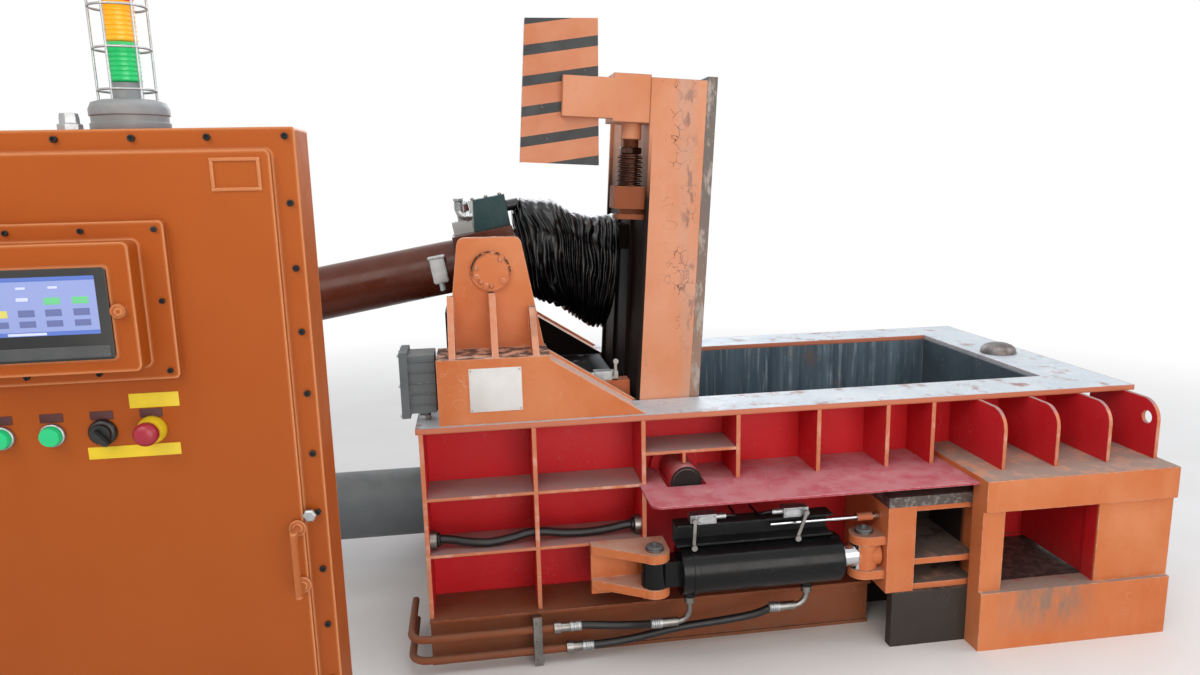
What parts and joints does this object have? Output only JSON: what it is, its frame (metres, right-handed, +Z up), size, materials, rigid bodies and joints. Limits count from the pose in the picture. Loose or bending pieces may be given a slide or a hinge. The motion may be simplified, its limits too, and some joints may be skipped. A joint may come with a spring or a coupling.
{
  "type": "hydraulic scrap baler",
  "caption": "Hydraulic scrap-metal baler with a swing lid, press chamber, two press rams, sliding bale gate and a free-standing control cabinet.",
  "frame": {"origin": "on the floor, under the lid hinge axis, on the centre line of the press chamber", "axes": "+X along the main press stroke towards the bale outlet, +Y across the machine towards its back, +Z up"},
  "size_m": [3.678, 4.615, 2.3589],
  "materials": {
    "orange_paint": "satin, scratched",
    "base_paint": "dull, dusty",
    "red_paint": "satin, scratched",
    "chamber_steel": "worn",
    "worn_deck": "worn bare steel",
    "black_paint": "gloss",
    "grey_paint": "satin",
    "brown_paint": "gloss",
    "rod_chrome": "polished",
    "bare_steel": "turned",
    "cast_alloy": "cast",
    "hose_rubber": "dull",
    "sleeve_cloth": "coated cloth",
    "green_plastic": "gloss",
    "black_plastic": "matt",
    "red_plastic": "gloss",
    "lamp_plastic": "tinted"
  },
  "bodies": {
    "frame": {"base_frame": "base_paint", "front_wall": "red_paint", "rear_wall": "red_paint", "end_walls": "chamber_steel", "chamber_floor": "chamber_steel", "deck_plate": "worn_deck", "wall_ribs": "orange_paint", "front_shelves": "orange_paint", "portal_gussets": "orange_paint", "outlet_portal": "orange_paint", "gate_sill": "chamber_steel", "cylinder_cover": "red_paint", "pedestals": "orange_paint", "trunnion_caps": "base_paint", "hinge_shaft": "red_paint", "hinge_collars": "red_paint", "main_cylinder": "grey_paint", "side_cylinder": "grey_paint", "gate_anchor": "orange_paint", "gate_barrel": "black_paint", "anchor_pin": "bare_steel", "switch_mounts": "black_paint", "limit_switches": "cast_alloy", "hydraulic_pipes": "base_paint", "pipe_fittings": "bare_steel", "upper_hose": "hose_rubber", "lower_hose": "hose_rubber", "shelf_hose": "hose_rubber", "junction_box": "grey_paint", "cabinet_body": "orange_paint", "cabinet_cover": "orange_paint", "screen_unit": "orange_paint", "signal_lamp": "lamp_plastic"},
    "lid": {"lid_body": "orange_paint", "lid_liner": "chamber_steel", "rod_bracket": "orange_paint", "lock_housing": "orange_paint", "disc_springs": "black_paint", "guard_plate": "orange_paint"},
    "lid_lock": {"lock_rod": "bare_steel"},
    "lid_cylinder": {"lid_barrel": "brown_paint", "valve_block": "black_paint", "pleated_sleeve": "sleeve_cloth"},
    "lid_cylinder_rod": {"lid_rod": "rod_chrome", "rod_pin": "bare_steel"},
    "main_ram": {"main_ram_rod": "rod_chrome", "main_ram_head": "chamber_steel"},
    "side_ram": {"side_ram_rod": "rod_chrome", "side_ram_head": "red_paint"},
    "gate": {"gate_block": "orange_paint", "gate_rod": "rod_chrome", "gate_pin": "bare_steel", "striker_rod": "rod_chrome"},
    "left_switch_lever": {"left_lever": "bare_steel"},
    "right_switch_lever": {"right_lever": "bare_steel"},
    "lid_switch_lever": {"lid_lever": "bare_steel"},
    "left_push_button": {"left_button": "green_plastic"},
    "right_push_button": {"right_button": "green_plastic"},
    "selector_knob": {"selector": "black_plastic"},
    "stop_push_button": {"stop_button": "red_plastic"}
  },
  "joints": [
    {"name": "lid_hinge", "type": "hinge", "parent": "frame", "child": "lid", "pos_m": [0, 0, 0.662], "axis": [0, 1, 0], "range_deg": [0, 86.5]},
    {"name": "lid_cylinder_swing", "type": "hinge", "parent": "frame", "child": "lid_cylinder", "pos_m": [-0.684, 0, 1.453], "axis": [0, 1, 0], "range_deg": [0, 29.57]},
    {"name": "lid_rod_stroke", "type": "slide", "parent": "lid_cylinder", "child": "lid_cylinder_rod", "axis": [0.9856, 0, 0.1693], "range_m": [0, 1.1353], "deforming": ["pleated_sleeve"]},
    {"name": "lid_lock_travel", "type": "slide", "parent": "lid", "child": "lid_lock", "axis": [0.061, 0, 0.9981], "range_m": [-0.02, 0], "stiffness_N_per_m": 40000, "springref_m": 0.004},
    {"name": "main_ram_stroke", "type": "slide", "parent": "frame", "child": "main_ram", "axis": [1, 0, 0], "range_m": [0, 1.151]},
    {"name": "side_ram_stroke", "type": "slide", "parent": "frame", "child": "side_ram", "axis": [0, 1, 0], "range_m": [-0.452, 0.977]},
    {"name": "gate_stroke", "type": "slide", "parent": "frame", "child": "gate", "axis": [1, 0, 0], "range_m": [0, 0.415]},
    {"name": "left_switch_pivot", "type": "hinge", "parent": "frame", "child": "left_switch_lever", "pos_m": [0.001, -0.8453, 0.5573], "axis": [0, 1, 0], "range_deg": [-30, 30], "stiffness_Nm_per_rad": 0.6},
    {"name": "right_switch_pivot", "type": "hinge", "parent": "frame", "child": "right_switch_lever", "pos_m": [0.423, -0.8453, 0.5573], "axis": [0, 1, 0], "range_deg": [-30, 30], "stiffness_Nm_per_rad": 0.6},
    {"name": "lid_switch_pivot", "type": "hinge", "parent": "frame", "child": "lid_switch_lever", "pos_m": [-0.207, -0.3963, 1.0053], "axis": [0, 1, 0], "range_deg": [-30, 30], "stiffness_Nm_per_rad": 1.2},
    {"name": "left_button_press", "type": "slide", "parent": "frame", "child": "left_push_button", "axis": [0, 1, 0], "range_m": [0, 0.004], "stiffness_N_per_m": 800},
    {"name": "right_button_press", "type": "slide", "parent": "frame", "child": "right_push_button", "axis": [0, 1, 0], "range_m": [0, 0.004], "stiffness_N_per_m": 800},
    {"name": "selector_turn", "type": "hinge", "parent": "frame", "child": "selector_knob", "pos_m": [-1.37, -2.184, 1.392], "axis": [0, 1, 0], "range_deg": [0, 90]},
    {"name": "stop_button_press", "type": "slide", "parent": "frame", "child": "stop_push_button", "axis": [0, 1, 0], "range_m": [0, 0.006]}
  ],
  "couplings": [
    {"joint": "lid_cylinder_swing", "follows": "lid_hinge", "ratio": 0.3417},
    {"joint": "lid_rod_stroke", "follows": "lid_hinge", "m_per_rad": 0.75168}
  ]
}
